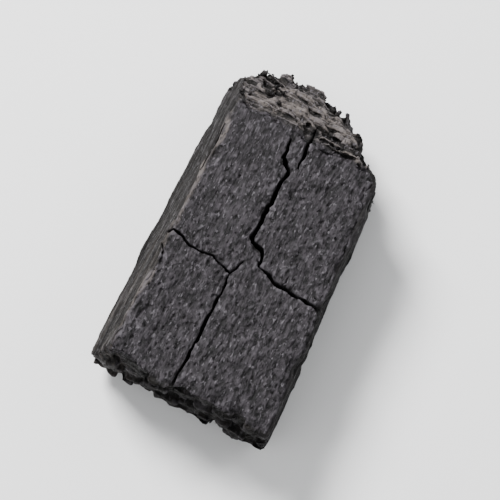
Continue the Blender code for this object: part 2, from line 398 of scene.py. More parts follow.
@dataclass
class CharcoalLump:
    """The lump: a slab split from a charred billet, its broad face cracked and its far end torn."""

    node: str = "charcoal_lump"
    face_length: float = 78 * MM
    face_width: float = 44 * MM
    thickness: float = 24.5 * MM
    torn_reach: float = 22.2 * MM
    flank_spread: float = 7.4 * MM
    near_break: float = 3 * MM
    pith: tuple[float, float] = (10 * MM, -58 * MM)
    ring_step: float = 3.6 * MM
    ring_relief: float = 0.55 * MM
    bundle_width: float = 3.2 * MM
    far_tear: float = 3.0 * MM
    near_tear: float = 1.6 * MM
    chip_reach: float = 2.6 * MM
    chip_depth: float = 1.6 * MM
    panel_drop: float = 0.4 * MM
    lip_drop: float = 0.22 * MM
    land_level: float = 0.22 * MM
    land_lift: float = 1.1 * MM
    land_reach: tuple[float, float] = (16 * MM, 31 * MM)
    torn_slivers: int = 36
    torn_sliver_rise: float = 1.0 * MM
    edge_slivers: int = 13
    edge_sliver_rise: float = 0.3 * MM
    edge_sliver_step: float = 5.7 * MM
    fewest_sliver_points: int = 4
    wear_rounds: int = 4
    crest_rounds: int = 14
    rough_step: float = 0.5 * MM
    fine_step: float = 0.34 * MM
    triangles_kept: int = 190000
    pressed_rims: Triple = (1.0 * MM, 1.2 * MM, 0.4 * MM)
    cleavages: dict[str, Cleavage] = field(default_factory=dict)
    cracks: dict[str, Crack] = field(default_factory=dict)
    pits: list[Pit] = field(default_factory=list)
    grooves: tuple[Groove, ...] = (
        Groove(0.2 * MM, -31 * MM, -11 * MM, 0.30 * MM),
        Groove(3.4 * MM, -27 * MM, -8 * MM, 0.16 * MM),
        Groove(9.8 * MM, 4 * MM, 30 * MM, 0.14 * MM),
        Groove(-12.6 * MM, 3 * MM, 26 * MM, 0.16 * MM),
        Groove(15.0 * MM, -34 * MM, -12 * MM, 0.16 * MM),
        Groove(-14.0 * MM, -31 * MM, -8 * MM, 0.14 * MM),
    )
    slivers: list[Sliver] = field(default_factory=list)

    def __post_init__(self) -> None:
        """Works out the planes and the cracks from the slab's sizes."""
        side, end, top = self.face_width / 2, self.face_length / 2, self.thickness
        foot, near = side + self.flank_spread, -end + self.near_break
        self.cleavages = {
            "broad face": Cleavage((0, 0, top), (0.012, -0.008, 1)),
            "underside": Cleavage((0, 0, 0), (0, 0, -1)),
            "left flank": Cleavage((-side, 0, top), (-1, 0.012, 0.46)),
            "left foot": Cleavage((-foot, 0, 0.3 * top), (-1, -0.02, -0.30)),
            "right flank": Cleavage((side - 0.3 * MM, -6 * MM, top), (1, 0.030, -0.10)),
            "right shoulder": Cleavage((side - 1.5 * MM, 12 * MM, top), (1, 0.05, 0.10)),
            "near end": Cleavage((0, near, top), (-0.055, -1, 0)),
            "near foot": Cleavage((0, near + 3 * MM, 3 * MM), (-0.055, -1, -1.1)),
            "near left corner": Cleavage((-27 * MM, near + 1.4 * MM, 12 * MM), (-1, -0.9, -0.1)),
            "torn slope": Cleavage((0, end, top), (0.10, 1, 1.35)),
            "far end": Cleavage((-14 * MM, end + self.torn_reach, 0), (0.46, 1, 0.05)),
            "far foot": Cleavage((0, end + 11.5 * MM, 3 * MM), (0.30, 1, -0.8)),
            "far left corner": Cleavage((-side - 0.5 * MM, end + 14.5 * MM, 12 * MM), (-1, 1.2, 0.1)),
            "far right corner": Cleavage((side - 5 * MM, end - 2 * MM, top), (1, 0.9, 0.05)),
        }
        self.cracks = self.plan_cracks()
        self.pits = self.plan_pits()

    def plan_cracks(self) -> dict[str, Crack]:
        """The shrinkage cracks, with their routes in millimetres made metres.

        Returns:
            Each crack under its name.
        """
        plan = {
            "long crack": (
                (Side.FACE, 1.35, 10.0),
                ((-5.0, 36.4), (-4.5, 32.9), (-4.7, 30.8), (-1.9, 27.9), (-2.2, 25.8), (-2.6, 8.1))
                + ((-2.0, 6.8), (0.7, 6.0), (1.9, 4.0), (1.8, 1.4)),
            ),
            "far branch": ((Side.FACE, 1.2, 9.0), ((-0.8, 44.0), (-0.6, 39.9), (0.0, 29.4))),
            "cross crack": (
                (Side.FACE, 1.2, 11.0),
                ((1.5, 2.8), (2.1, 1.6), (5.2, 0.4), (8.9, -1.0), (12.6, -1.6), (14.8, -1.3))
                + ((18.2, -2.3), (28.0, -3.0)),
            ),
            "cross spur": ((Side.FACE, 0.6, 3.0), ((8.9, -1.0), (9.8, 0.6), (9.9, 2.4))),
            "left cross crack": (
                (Side.FACE, 0.85, 5.5),
                ((-26.0, -0.6), (-22.1, 0.1), (-21.3, 1.3), (-18.5, 0.7), (-16.0, -0.7), (-13.5, -0.9))
                + ((-9.4, -0.6), (-8.2, -1.6), (-6.0, -2.2)),
            ),
            "middle crack": (
                (Side.FACE, 1.0, 6.0),
                ((-8.2, -1.6), (-5.5, -2.3), (-3.8, -2.9), (-3.0, -1.3), (-2.0, 1.2)),
            ),
            "near crack": (
                (Side.FACE, 0.95, 8.5),
                ((-3.9, -2.6), (-3.5, -6.7), (-3.8, -12.0), (-3.7, -18.7), (-3.8, -25.5), (-4.4, -36.0))
                + ((-4.6, -44.0),),
            ),
            "edge slit": ((Side.FACE, 0.6, 3.5), ((-22.0, 33.0), (-21.9, 27.0), (-22.5, 19.0))),
            "under long crack": (
                (Side.UNDER, 1.3, 7.0),
                ((6.0, -44.0), (5.2, -24.0), (6.6, -6.0), (5.8, 4.0)),
            ),
            "under cross crack": ((Side.UNDER, 1.1, 7.0), ((5.6, -10.0), (13.0, -11.2), (28.0, -10.4))),
            "under left crack": (
                (Side.UNDER, 1.1, 6.0),
                ((-36.0, 12.0), (-22.0, 13.1), (-11.0, 12.2), (-6.0, 12.8)),
            ),
        }
        cracks = {}
        for name, ((side, width, depth), route) in plan.items():
            metres = tuple((x * MM, y * MM) for x, y in route)
            cracks[name] = Crack(side, width * MM, depth * MM, metres, len(name))
        return cracks

    def plan_pits(self) -> list[Pit]:
        """The small holes in the broad face, the dark holes of the torn end and the chips of the edges.

        Each is planned in millimetres as its place along X and Y, its radius, its depth and, for a chip,
        the way that it goes in.

        Returns:
            Each of them, with its sizes made metres.
        """
        down, into_slope = (0, 0, -1), (-0.06, -0.60, -0.80)
        holes = (
            (1.7, 22.4, 0.75, 0.7), (3.0, 21.2, 0.65, 0.6), (2.0, 19.9, 0.55, 0.5),
            (3.9, 22.6, 0.5, 0.5), (0.7, 20.9, 0.5, 0.4), (-0.4, 5.4, 1.1, 1.0),
            (-16.6, 33.8, 0.6, 0.6), (-9.5, 30.2, 0.5, 0.4), (9.8, -18.5, 0.6, 0.5),
            (-12.4, -21.0, 0.6, 0.5), (13.6, 12.2, 0.5, 0.5), (-15.8, 14.5, 0.5, 0.4),
            (-13.2, -29.5, 0.9, 0.6), (-1.4, -33.0, 0.8, 0.8), (-10.7, 39.4, 0.9, 0.8),
        )
        dark = (
            (-8.2, 46.2, 0.8, 1.0), (-16.2, 46.1, 0.7, 0.7), (-11.2, 48.5, 0.7, 0.7),
            (-1.6, 50.2, 0.9, 1.4), (0.6, 47.9, 1.0, 1.6), (2.6, 45.2, 1.1, 2.0),
            (4.4, 42.6, 1.5, 2.5), (7.6, 41.2, 1.1, 1.8), (-20.0, 43.5, 0.9, 1.0),
            (-4.6, 42.6, 0.7, 0.8),
        )
        chips = (
            (21.5, -38.0, 2.6, 1.6, (-0.5, 0.5, -0.7)), (14.0, -37.5, 3.0, 1.9, (0, 0.5, -0.86)),
            (8.0, -37.5, 3.2, 1.7, (0, 0.6, -0.8)), (-0.5, -37.0, 2.4, 1.9, (0, 0.8, -0.6)),
            (-17.5, -36.5, 2.6, 1.7, (0, 0.6, -0.8)), (-11.5, -37.5, 1.6, 0.9, (0, 0.7, -0.7)),
            (22.6, -19.5, 2.8, 1.9, (-0.85, 0, -0.5)), (22.6, -24.0, 2.0, 1.2, (-0.85, 0, -0.5)),
            (22.0, -2.6, 2.0, 1.5, (-0.8, 0, -0.6)), (21.4, 9.0, 2.4, 0.9, (-0.8, 0, -0.6)),
            (20.2, 29.0, 2.8, 1.2, (-0.85, 0, -0.5)), (20.6, 17.5, 1.8, 0.9, (-0.8, 0, -0.6)),
            (-22.8, -26.0, 1.6, 0.7, (0.6, 0, -0.8)), (16.5, 38.5, 1.8, 0.8, (-0.5, -0.5, -0.7)),
        )
        plan = [(x, y, size, deep, down) for x, y, size, deep in holes]
        plan += [(x, y, size, deep, into_slope) for x, y, size, deep in dark]
        slope = self.cleavages["torn slope"]
        pits = []
        for x, y, size, deep, way in (*plan, *chips):
            fall = (y * MM - slope.point[1] + slope.facing[0] * x * MM) / slope.facing[2]
            place = (x * MM, y * MM, self.thickness - max(0.0, fall))
            pits.append(Pit(place, size * MM, deep * MM, way))
        return pits

    def build(self) -> bpy.types.Object:
        """Models the lump and marks its surfaces.

        Returns:
            The finished piece, in its place.
        """
        lump = self.split_block()
        self.even_skin(lump, self.rough_step)
        self.tear_ends(lump)
        self.lay_slivers(lump)
        self.even_skin(lump, self.fine_step)
        self.wear_smooth(lump)
        self.work_form(lump)
        self.raise_grain(lump)
        self.open_cracks(lump)
        self.thin_out(lump)
        self.mark_zones(lump)
        self.place(lump)
        only_active(lump)
        bpy.ops.object.shade_smooth()
        return lump

    def split_block(self) -> bpy.types.Object:
        """Cleaves a block of char by each plane in turn.

        Returns:
            The slab, with flat sides.
        """
        bpy.ops.object.select_all(action="DESELECT")
        bpy.ops.mesh.primitive_cube_add(size=1.6 * self.face_length, location=(0, 0, 0))
        lump = bpy.context.object
        lump.name = "charred_slab"
        bpy.ops.object.mode_set(mode="EDIT")
        for plane in self.cleavages.values():
            bpy.ops.mesh.select_all(action="SELECT")
            bpy.ops.mesh.bisect(
                plane_co=plane.point,
                plane_no=Vector(plane.facing).normalized(),
                use_fill=True,
                clear_outer=True,
            )
        bpy.ops.mesh.select_all(action="SELECT")
        bpy.ops.mesh.normals_make_consistent(inside=False)
        bpy.ops.object.mode_set(mode="OBJECT")
        return lump

    def crack_cutter(self, crack: Crack) -> bpy.types.Object:
        """Makes the wedge that opens a crack: widest at its mouth, thin at its root and its tips.

        Args:
            crack: The crack's route, width and depth.

        Returns:
            The wedge.
        """
        inward = crack.side.value
        mouth = self.thickness if crack.side is Side.FACE else 0.0
        room = 3 * MM
        line = [Vector((x, y, mouth - inward * room)) for x, y in crack.line().tolist()]
        cutter = draw_line(line)
        bpy.ops.object.mode_set(mode="EDIT")
        bpy.ops.mesh.select_all(action="SELECT")
        for drop in (room, 0.08 * crack.depth, 0.22 * crack.depth, 0.3 * crack.depth, 0.4 * crack.depth):
            bpy.ops.mesh.extrude_edges_move(TRANSFORM_OT_translate={"value": (0, 0, inward * drop)})
        bpy.ops.object.mode_set(mode="OBJECT")

        group = cutter.vertex_groups.new(name="width")
        first, last = line[0].xy, line[-1].xy
        for vertex in cutter.data.vertices:
            place = vertex.co.xy
            deep = float(smooth_step(0, crack.depth, np.array(inward * (vertex.co.z - mouth))))
            tip = min((place - first).length, (place - last).length)
            tip_share = 0.42 + 0.58 * float(smooth_step(0, 5 * MM, np.array(tip)))
            uneven = 0.82 + 0.45 * noise.noise(Vector((place.x, place.y, 0)) / (2.4 * MM))
            group.add([vertex.index], (1 - 0.75 * deep) * tip_share * uneven, "REPLACE")
        wall = cutter.modifiers.new("crack width", "SOLIDIFY")
        wall.thickness = 1.1 * crack.width
        wall.offset = 0
        wall.vertex_group = group.name
        apply_all(cutter)
        return cutter

    def open_cracks(self, lump: bpy.types.Object) -> None:
        """Opens every crack.

        Args:
            lump: The slab to cut.
        """
        tools = bpy.data.collections.new("crack cutters")
        bpy.context.scene.collection.children.link(tools)
        cutters = [self.crack_cutter(crack) for crack in self.cracks.values()]
        for cutter in cutters:
            for home in list(cutter.users_collection):
                home.objects.unlink(cutter)
            tools.objects.link(cutter)
        opened = lump.modifiers.new("cracks", "BOOLEAN")
        opened.operation = "DIFFERENCE"
        opened.operand_type = "COLLECTION"
        opened.collection = tools
        opened.solver = "MANIFOLD"
        apply_all(lump)
        for cutter in cutters:
            bpy.data.objects.remove(cutter, do_unlink=True)
        bpy.data.collections.remove(tools)
        LOG.info("cracks: %d opened", len(cutters))

    def even_skin(self, lump: bpy.types.Object, step: float) -> None:
        """Covers the lump with faces of one size, so that it can be worked everywhere alike.

        Args:
            lump: The piece.
            step: The size of its new faces.
        """
        remesh = lump.modifiers.new("even skin", "REMESH")
        remesh.mode = "VOXEL"
        remesh.voxel_size = step
        apply_all(lump)
        self.drop_scraps(lump)

    def drop_scraps(self, lump: bpy.types.Object) -> None:
        """Drops any crumb that has come loose from the lump.

        Args:
            lump: The piece.
        """
        only_active(lump)
        bpy.ops.object.mode_set(mode="EDIT")
        bpy.ops.mesh.select_all(action="DESELECT")
        bpy.ops.object.mode_set(mode="OBJECT")
        corners = lump.data.vertices
        middle = max(corners, key=lambda corner: corner.co.z - abs(corner.co.x) - abs(corner.co.y))
        middle.select = True
        bpy.ops.object.mode_set(mode="EDIT")
        bpy.ops.mesh.select_linked()
        bpy.ops.mesh.select_all(action="INVERT")
        bpy.ops.mesh.delete(type="VERT")
        bpy.ops.object.mode_set(mode="OBJECT")

    def ring_at(self, points: np.ndarray) -> np.ndarray:
        """How many growth rings lie between the pith and each point.

        Args:
            points: Places in or on the lump.

        Returns:
            A number of rings for each point.
        """
        sway = 1.2 * MM * cloud(points, (20 * MM, 50 * MM, 20 * MM))
        radius = np.hypot(points[:, 0] - self.pith[0], points[:, 2] - self.pith[1])
        return (radius + sway) / self.ring_step

    def plane_gaps(self, points: np.ndarray) -> np.ndarray:
        """How deep each point lies behind each cleavage plane.

        Args:
            points: Places on the skin.

        Returns:
            The depths, one row to a point and one column to a plane.
        """
        gaps = []
        for plane in self.cleavages.values():
            way = np.array(plane.facing) / np.linalg.norm(plane.facing)
            gaps.append((np.array(plane.point) - points) @ way)
        return np.column_stack(gaps)

    def crack_gaps(self, points: np.ndarray) -> tuple[np.ndarray, np.ndarray]:
        """How near each point lies to the cracks that open on its side.

        Args:
            points: Places on the skin.

        Returns:
            The distance past the wall of the nearest crack, and 1 for places above that crack's root.
        """
        past = np.full(len(points), np.inf)
        shallow = np.zeros(len(points))
        for crack in self.cracks.values():
            mouth = self.thickness if crack.side is Side.FACE else 0.0
            sunk = crack.side.value * (points[:, 2] - mouth)
            low, high = np.min(crack.route, axis=0) - 3 * MM, np.max(crack.route, axis=0) + 3 * MM
            near = np.all((points[:, :2] > low) & (points[:, :2] < high), axis=1)
            near &= sunk < crack.depth + 0.8 * MM
            gap = line_gap(points[near, :2], crack.line()) - crack.width / 2
            closer = gap < past[near]
            past[near] = np.where(closer, gap, past[near])
            shallow[near] = 1.0
        return past, shallow

    def in_crack(self, points: np.ndarray) -> np.ndarray:
        """Tells the walls of the cracks from the outside of the lump.

        Args:
            points: Places on the skin.

        Returns:
            1 on a crack's walls, below its lips, and 0 on the outside.
        """
        depth = self.plane_gaps(points).min(axis=1)
        past, shallow = self.crack_gaps(points)
        close = 1 - smooth_step(0.25 * MM, 0.6 * MM, past)
        return close * shallow * smooth_step(0.25 * MM, 1.1 * MM, depth)

    def group_gap(self, gaps: np.ndarray, *names: str) -> np.ndarray:
        """The least of the gaps to the named cleavage planes."""
        known = list(self.cleavages)
        return gaps[:, [known.index(name) for name in names]].min(axis=1)

    def zones(self, points: np.ndarray) -> dict[Zone, np.ndarray]:
        """The kind of surface at each point.

        Args:
            points: Places on the skin.

        Returns:
            A mask from 0 to 1 for each kind but the crests.
        """
        gaps = self.plane_gaps(points)
        face = self.group_gap(gaps, "broad face")
        under = self.group_gap(gaps, "underside")
        near = self.group_gap(gaps, "near end", "near foot", "near left corner")
        far = self.group_gap(gaps, "torn slope", "far end", "far foot")
        sides = ("left flank", "left foot", "right flank", "right shoulder", "far right corner")
        flank = self.group_gap(gaps, *sides)
        ragged = cloud(points, (2.6 * MM, 3.2 * MM, 2.6 * MM), 4.9)
        beyond = points[:, 1] + 0.10 * points[:, 0] - self.face_length / 2 + 1.5 * MM * ragged
        torn = smooth_step(-0.6 * MM, 0.6 * MM, beyond)
        torn *= smooth_step(17.5 * MM, 15.0 * MM, points[:, 0] + 1.5 * MM * ragged)
        torn *= smooth_step(-0.2 * MM, 0.8 * MM, np.minimum(flank, under) + 0.5 * MM * ragged)
        rest = np.minimum(np.minimum(face, under), far)
        side = smooth_step(-0.35 * MM, 0.35 * MM, rest - flank + 0.35 * MM * ragged)
        broken = smooth_step(-0.5 * MM, 0.5 * MM, np.minimum(rest, flank) - near + 0.5 * MM * ragged)
        broken = np.maximum(broken, smooth_step(0.6 * MM, -0.2 * MM, near) * (1 - side))
        left = smooth_step(-15 * MM, -19 * MM, points[:, 0]) * smooth_step(3 * MM, 8 * MM, points[:, 2])
        towards_near = 0.10 + 0.90 * smooth_step(14 * MM, -30 * MM, points[:, 1])
        bare = smooth_step(-0.35, 0.25, cloud(points, (1.5 * MM, 14 * MM, 1.5 * MM), 12.7))
        return {
            Zone.TORN: torn,
            Zone.FLANK: side * (1 - torn) * (1 - broken),
            Zone.BROKEN: broken * (1 - torn),
            Zone.HOLLOW: self.in_crack(points),
            Zone.SLIVER: self.on_sliver(points),
            Zone.BARE: bare * left * towards_near * side * (1 - torn),
        }

    def tear_ends(self, lump: bpy.types.Object) -> None:
        """Pushes the bundles of fibres at both ends in or out along the grain, layer by layer.

        Args:
            lump: The piece.
        """
        skin = Skin(lump)
        points, normals = skin.points, skin.normals
        rings = self.ring_at(points)
        ring = np.floor(rings)
        across = points[:, 0] / self.bundle_width
        nil = np.zeros(len(points))
        bundle = patches(across + 0.37 * ring, ring + 0.5, nil + 3.5)
        front = cloud(np.column_stack((across / 4, 1.7 * ring, nil + 8.1)), (1, 1, 1))
        tear = 0.45 * (2 * bundle - 1) + 0.55 * front
        layer = np.floor(rings * 3.3)
        edge = cloud(np.column_stack((points[:, 0] / (4.2 * MM), 1.7 * layer, nil + 2.2)), (1, 1, 1))
        strand = patches(points[:, 0] / (1.3 * MM) + 0.61 * layer, layer + 0.5, nil + 7.7)
        far, near = facing(normals[:, 1]), facing(-normals[:, 1])
        shift = tear * (far * self.far_tear - near * self.near_tear)
        shift += far * (1.5 * MM * edge + 0.6 * MM * (strand - 0.5))
        shift *= smooth_step(21 * MM, 17 * MM, points[:, 0]) * far + (1 - far)
        shift -= near * 0.6 * MM * edge
        points[:, 1] += shift
        skin.store()

    def surface_under(self, lump: bpy.types.Object, place: Vector, way: Vector) -> Vector | None:
        """The place on the lump that is met first from outside.

        Args:
            lump: The piece.
            place: A place near its surface.
            way: The way out from there.

        Returns:
            The place on the surface, or None where the lump isn't met.
        """
        met, point, _, _ = lump.ray_cast(place + way * 12 * MM, -way, distance=19 * MM)
        return point if met else None

    def sliver_line(self, lump: bpy.types.Object, plan: SliverPlan, seed: float) -> list[Vector]:
        """Lays a sliver's middle line over the surface.

        Args:
            lump: The piece that it lies on.
            plan: Where it is to lie.
            seed: Gives it bends of its own.

        Returns:
            Its points, as far as the surface goes on under it.
        """
        side = plan.out.cross(plan.along)
        stride, widest_gap = 1.3 * MM, 3.2 * MM
        steps = max(4, round(plan.length / stride))
        line = []
        for step in range(steps + 1):
            share = step / steps
            bend = 0.09 * plan.length * math.sin(math.pi * share) * math.sin(seed)
            bend += 0.5 * MM * noise.noise(Vector((2.3 * share, seed, 1.5)))
            place = plan.start + plan.along * plan.length * share + side * bend
            point = self.surface_under(lump, place, plan.out)
            if point is None or (line and (point - line[-1]).length > widest_gap):
                break
            lift = plan.rise * (0.25 + 0.9 * math.sin(math.pi * share) * abs(math.cos(seed)))
            line.append(point + plan.out * lift)
        return line

    def plan_slivers(self) -> list[SliverPlan]:
        """Plans slivers across the torn slope, and then some along the left edge of the broad face.

        Returns:
            Where each of them is to lie.
        """
        draw = random.Random(23)
        slope = Vector(self.cleavages["torn slope"].facing).normalized()
        level = Vector(self.cleavages["torn slope"].point)
        plans = []
        for _ in range(self.torn_slivers):
            across, reach = draw.uniform(-27, 7) * MM, draw.uniform(0.8, 20) * MM
            start = Vector((across, level.y + reach - 0.25 * across, level.z))
            start -= slope * (start - level).dot(slope)
            turn = math.radians(draw.uniform(-27, -7))
            along = Vector((math.cos(turn), math.sin(turn), 0))
            along = (along - slope * along.dot(slope)).normalized()
            length, radius = draw.uniform(6, 15) * MM, draw.uniform(0.32, 0.62) * MM
            plans.append(SliverPlan(start, along, slope, length, radius, self.torn_sliver_rise))
        up_and_left = Vector((-0.5, 0, 0.866))
        for index in range(self.edge_slivers):
            place = -38 * MM + self.edge_sliver_step * index + draw.uniform(-2, 2) * MM
            start = Vector((-self.face_width / 2 + draw.uniform(-0.3, 0.5) * MM, place, self.thickness))
            along = Vector((draw.uniform(-0.02, 0.03), 1, 0)).normalized()
            length, radius = draw.uniform(6, 13) * MM, draw.uniform(0.28, 0.45) * MM
            plans.append(SliverPlan(start, along, up_and_left, length, radius, self.edge_sliver_rise))
        return plans

    def lay_slivers(self, lump: bpy.types.Object) -> None:
        """Lays the slivers on the lump, and joins them to it for the next skin to fuse.

        Args:
            lump: The piece.
        """
        bpy.context.view_layer.update()
        for index, plan in enumerate(self.plan_slivers()):
            line = self.sliver_line(lump, plan, 1.7 * index)
            if len(line) >= self.fewest_sliver_points:
                self.slivers.append(Sliver(tuple(tuple(point) for point in line), plan.radius))
        pieces = [sliver.model() for sliver in self.slivers]
        only_active(lump)
        for piece in pieces:
            piece.select_set(True)
        bpy.ops.object.join()
        LOG.info("slivers: %d laid", len(pieces))

    def wear_smooth(self, lump: bpy.types.Object) -> None:
        """Wears off the stubs that the tearing left.

        Args:
            lump: The piece.
        """
        worn = lump.modifiers.new("wear", "SMOOTH")
        worn.factor = 0.5
        worn.iterations = self.wear_rounds
        apply_all(lump)

    def on_sliver(self, points: np.ndarray) -> np.ndarray:
        """Tells the slivers from the rest.

        Args:
            points: Places on the skin.

        Returns:
            1 on the slivers, 0 elsewhere.
        """
        mask = np.zeros(len(points))
        for sliver in self.slivers:
            line = np.array(sliver.line)
            near = np.all(np.abs(points - line.mean(axis=0)) < np.ptp(line, axis=0) / 2 + 2.5 * MM, axis=1)
            past = line_gap(points[near], line) - sliver.radius
            mask[near] = np.maximum(mask[near], smooth_step(0.3 * MM, -0.05 * MM, past))
        return mask

    def panel_sag(self, points: np.ndarray) -> np.ndarray:
        """How far the panel under each point lies below the highest of the four.

        Args:
            points: Places on the skin.

        Returns:
            A distance for each point.
        """
        across = np.tanh(points[:, 0] / (3 * MM))
        along = np.tanh(points[:, 1] / (3 * MM))
        return self.panel_drop * (0.5 + 0.3 * across * along + 0.2 * across)

    def work_form(self, lump: bpy.types.Object) -> None:
        """Works the rings, chipped edges and lifted rim into the skin.

        Args:
            lump: The piece.
        """
        skin = Skin(lump)
        points, normals = skin.points, skin.normals
        flank = facing(np.abs(normals[:, 0]))
        ring = self.ring_at(points) % 1
        saw = (smooth_step(0, 0.75, ring) - smooth_step(0.8, 1, ring) - 0.5) * self.ring_relief
        fibre = cloud(points, (4.2 * MM, 26 * MM, 4.2 * MM), 4.3) * (0.22 + 0.43 * flank) * MM
        bites = points / (6.5 * MM) + np.array((9.1, 2.7, 5.3))
        patch = smooth_step(0.05, 0.55, cloud(bites, (1, 1, 1)))
        second = np.sort(np.abs(self.plane_gaps(points)), axis=1)[:, 1]
        chip = (1 - smooth_step(0, self.chip_reach, second)) * patch * self.chip_depth
        chip += 0.35 * MM * (1 - smooth_step(0, 1.2 * MM, second))
        sag = self.panel_sag(points) * facing(normals[:, 2])
        height = saw * np.maximum(flank, 0.35 * np.abs(normals[:, 1])) + fibre - chip - sag
        height += flank * 0.5 * MM * cloud(points, (9 * MM, 13 * MM, 14 * MM), 15.2)
        points += normals * height[:, None]
        away = np.hypot(*(points[:, :2] / np.array(self.land_reach)).T)
        lift = smooth_step(1, 1.5, away) * facing(-normals[:, 2]) * self.land_lift
        points[:, 2] += lift
        points[:, 2] = np.maximum(points[:, 2], self.land_level)
        skin.store()

    def fine_relief(self, points: np.ndarray, zones: dict[Zone, np.ndarray]) -> np.ndarray:
        """The height of the fine grain at each point: mottles, fibres, strands, crumbs and pits.

        Args:
            points: Places on the skin.
            zones: The kind of surface at each of them.

        Returns:
            The height to add along the normal, in metres.
        """
        torn, flank, broken = zones[Zone.TORN], zones[Zone.FLANK], zones[Zone.BROKEN]
        plain = (1 - torn) * (1 - flank) * (1 - broken)
        turn = math.radians(-12)
        along = points[:, 0] * math.cos(turn) + points[:, 1] * math.sin(turn)
        across = points[:, 1] * math.cos(turn) - points[:, 0] * math.sin(turn)
        sheared = np.column_stack((along, across, points[:, 2]))

        mottle = 0.26 * cloud(points, (0.85 * MM, 2.0 * MM, 0.85 * MM), 2.1)
        mottle += 0.17 * cloud(points, (0.5 * MM, 0.8 * MM, 0.5 * MM), 5.6)
        mottle += 0.08 * cloud(points, (2.2 * MM, 9.0 * MM, 2.2 * MM), 11.6)
        pit = smooth_step(0.26, 0.52, cloud(points, (0.8 * MM, 1.3 * MM, 0.8 * MM), 7.9))
        streak = 0.20 * ridges(points, (1.3 * MM, 15 * MM, 1.3 * MM), 1.4)
        streak += 0.08 * ridges(points, (0.6 * MM, 6 * MM, 0.6 * MM), 8.4)
        strand = 0.50 * ridges(sheared, (10.0 * MM, 1.7 * MM, 1.7 * MM), 6.2)
        strand += 0.22 * ridges(sheared, (5.0 * MM, 0.75 * MM, 0.75 * MM), 3.8)
        crumb = 0.42 * cloud(points, (2.8 * MM, 2.8 * MM, 2.4 * MM), 3.3)
        crumb += 0.20 * cloud(points, (1.0 * MM, 1.0 * MM, 1.0 * MM), 8.8)

        height = (mottle - 0.42 * pit) * plain
        height -= sum(groove.sink(points) for groove in self.grooves) / MM * plain
        height += (streak + 0.5 * mottle) * flank
        on_slope = smooth_step(3.4 * MM, 1.4 * MM, self.group_gap(self.plane_gaps(points), "torn slope"))
        torn_height = (strand - 0.35 + 0.2 * crumb) * (1 - 0.5 * zones[Zone.SLIVER])
        height += torn_height * torn * (0.4 + 0.6 * on_slope)
        height += (crumb + 0.5 * mottle) * broken
        return MM * height

    def splinter_relief(self, points: np.ndarray, zones: dict[Zone, np.ndarray]) -> np.ndarray:
        """The splintered ridge along the left edge of the broad face, with slits beside it.

        Args:
            points: Places on the skin.
            zones: The kind of surface at each of them.

        Returns:
            The height to add along the normal, in metres.
        """
        length = points * np.array((0.0, 1.0, 0.0))
        wander = 0.5 * MM * cloud(length, (1, 7 * MM, 1), 3.7)
        wander += 0.25 * MM * cloud(length, (1, 2 * MM, 1), 1.2)
        across = points[:, 0] + self.face_width / 2 - 0.5 * MM - wander
        high = smooth_step(self.thickness - 2.6 * MM, self.thickness - 1.0 * MM, points[:, 2])
        uneven = np.clip(0.5 + 1.1 * cloud(length, (1, 2.6 * MM, 1), 6.6), 0, 1)
        crest = np.exp(-((across / (0.5 * MM)) ** 2)) * uneven
        upper = 0.35 + 0.65 * smooth_step(-4 * MM, 9 * MM, points[:, 1])
        opened = smooth_step(-0.25, 0.2, cloud(length, (1, 5 * MM, 1), 9.4)) * upper
        slit = np.exp(-(((across + 1.15 * MM) / (0.38 * MM)) ** 2)) * opened
        return MM * (0.45 * crest - 0.9 * slit) * high * (1 - zones[Zone.TORN])

    def sink_pits(self, points: np.ndarray) -> np.ndarray:
        """How far each point moves as the pits and chips sink in.

        Args:
            points: Places on the skin.

        Returns:
            The move of each point along X, Y and Z.
        """
        shift = np.zeros(points.shape)
        for pit in self.pits:
            shift += pit.depth * pit.reach(points)[:, None] * np.array(pit.way)
        return shift

    def lips(self, points: np.ndarray) -> np.ndarray:
        """The height taken off the rounded lips of the cracks.

        Args:
            points: Places on the skin.

        Returns:
            A height for each point, below 0 on the lips.
        """
        past, shallow = self.crack_gaps(points)
        depth = self.plane_gaps(points).min(axis=1)
        lip = np.exp(-((np.clip(past, 0, 9) / (0.55 * MM)) ** 2)) * shallow
        return -self.lip_drop * lip * smooth_step(1.0 * MM, 0.4 * MM, depth)

    def raise_grain(self, lump: bpy.types.Object) -> None:
        """Raises the fine grain on the whole skin, and keeps the resting land flat.

        Args:
            lump: The piece.
        """
        skin = Skin(lump)
        zones = self.zones(skin.points)
        height = self.fine_relief(skin.points, zones) + self.splinter_relief(skin.points, zones)
        height += self.lips(skin.points)
        skin.points += skin.normals * height[:, None] + self.sink_pits(skin.points)
        skin.points[:, 2] = np.maximum(skin.points[:, 2], self.land_level)
        skin.store()

    def thin_out(self, lump: bpy.types.Object) -> None:
        """Leaves the triangles that the piece may have, most of them where it is busy.

        Args:
            lump: The piece.
        """
        lump.data.calc_loop_triangles()
        count = len(lump.data.loop_triangles)
        if count > self.triangles_kept:
            decimate = lump.modifiers.new("thin out", "DECIMATE")
            decimate.ratio = self.triangles_kept / count
            apply_all(lump)
        LOG.info("skin: %d triangles, of %d before it was thinned out", len(lump.data.polygons), count)

    def mark_zones(self, lump: bpy.types.Object) -> None:
        """Marks each kind of surface on the points.

        Args:
            lump: The piece.
        """
        skin = Skin(lump)
        zones = self.zones(skin.points)
        relief = self.fine_relief(skin.points, zones) + self.splinter_relief(skin.points, zones)
        holes = [pit for pit in self.pits if pit.radius < 1.6 * MM]
        relief -= sum(0.6 * hole.depth * hole.reach(skin.points) for hole in holes)
        out = skin.standing_out(self.crest_rounds)
        torn = zones[Zone.TORN]
        # The finish reads this crest mask to paint highlights on the crests and shade in the troughs.
        crest = relief / (0.35 * MM) * (1 - 0.5 * torn) + (out / MM + 0.1) / 0.45 * (0.3 + 0.7 * torn)
        zones[Zone.CREST] = np.clip(crest, -1, 1)
        for zone, mask in zones.items():
            skin.mark(zone, mask)

